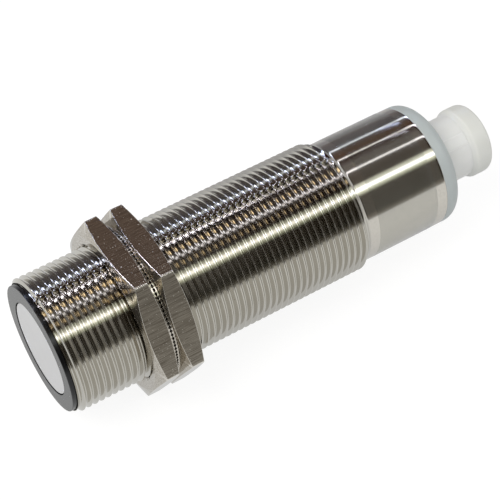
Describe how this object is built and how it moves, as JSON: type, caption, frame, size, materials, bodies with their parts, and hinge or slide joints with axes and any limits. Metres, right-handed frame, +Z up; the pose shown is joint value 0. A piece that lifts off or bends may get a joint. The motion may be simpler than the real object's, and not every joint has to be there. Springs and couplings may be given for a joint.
{
  "type": "ultrasonic sensor",
  "caption": "Cylindrical ultrasonic distance sensor: threaded metal barrel with two lock nuts, pale sensing face, translucent light ring and a capped round plug.",
  "frame": {"origin": "centre of the sensing end, on the barrel's axis, in the plane of the front ring's face", "axes": "+X along the barrel's axis from the sensing face to the plug, +Z up with the nuts' lower flats facing down"},
  "size_m": [0.1086, 0.0416, 0.036],
  "materials": {
    "barrel_nickel": "bright nickel plate on turned brass",
    "nut_nickel": "satin nickel plate, brushed flats",
    "ring_plastic": "moulded, satin face",
    "seal_rubber": "smooth",
    "face_resin": "fine matt",
    "foam": "fine closed cells",
    "piezo_ceramic": "silvered faces",
    "damping_rubber": "cast",
    "tinned_sheet": "drawn sheet",
    "lead_wire": "insulated wire",
    "board_laminate": "solder mask",
    "ferrite": "pressed ferrite",
    "chip_resin": "moulded",
    "can_aluminium": "drawn can",
    "lamp_resin": "clear moulded",
    "potting_resin": "cast resin",
    "light_plastic": "translucent, satin moulded",
    "plug_nickel": "bright nickel plate",
    "carrier_plastic": "moulded",
    "pin_gold": "gold plate",
    "cap_plastic": "soft translucent polythene"
  },
  "bodies": {
    "sensor": {"barrel": "barrel_nickel", "transducer_ring": "ring_plastic", "front_seal": "seal_rubber", "radiating_face": "face_resin", "decoupling_foam": "foam", "piezo_disc": "piezo_ceramic", "damping_block": "damping_rubber", "screening_can": "tinned_sheet", "transducer_leads": "lead_wire", "circuit_board": "board_laminate", "driver_transformer": "ferrite", "controller_chip": "chip_resin", "storage_capacitor": "can_aluminium", "status_lights": "lamp_resin", "potting": "potting_resin", "light_ring": "light_plastic", "rear_seal": "seal_rubber", "plug_shell": "plug_nickel", "contact_carrier": "carrier_plastic", "contact_pin_1": "pin_gold", "contact_pin_2": "pin_gold", "contact_pin_3": "pin_gold", "contact_pin_4": "pin_gold"},
    "front_nut": {"front_nut": "nut_nickel"},
    "rear_nut": {"rear_nut": "nut_nickel"},
    "dust_cap": {"dust_cap": "cap_plastic"}
  },
  "joints": [
    {"name": "front_nut_travel", "type": "slide", "parent": "sensor", "child": "front_nut", "axis": [-1, 0, 0], "range_m": [0, 0.0149]},
    {"name": "rear_nut_travel", "type": "slide", "parent": "sensor", "child": "rear_nut", "axis": [1, 0, 0], "range_m": [0, 0.0424]},
    {"name": "dust_cap_pull", "type": "slide", "parent": "sensor", "child": "dust_cap", "axis": [1, 0, 0], "range_m": [0, 0.012]}
  ]
}
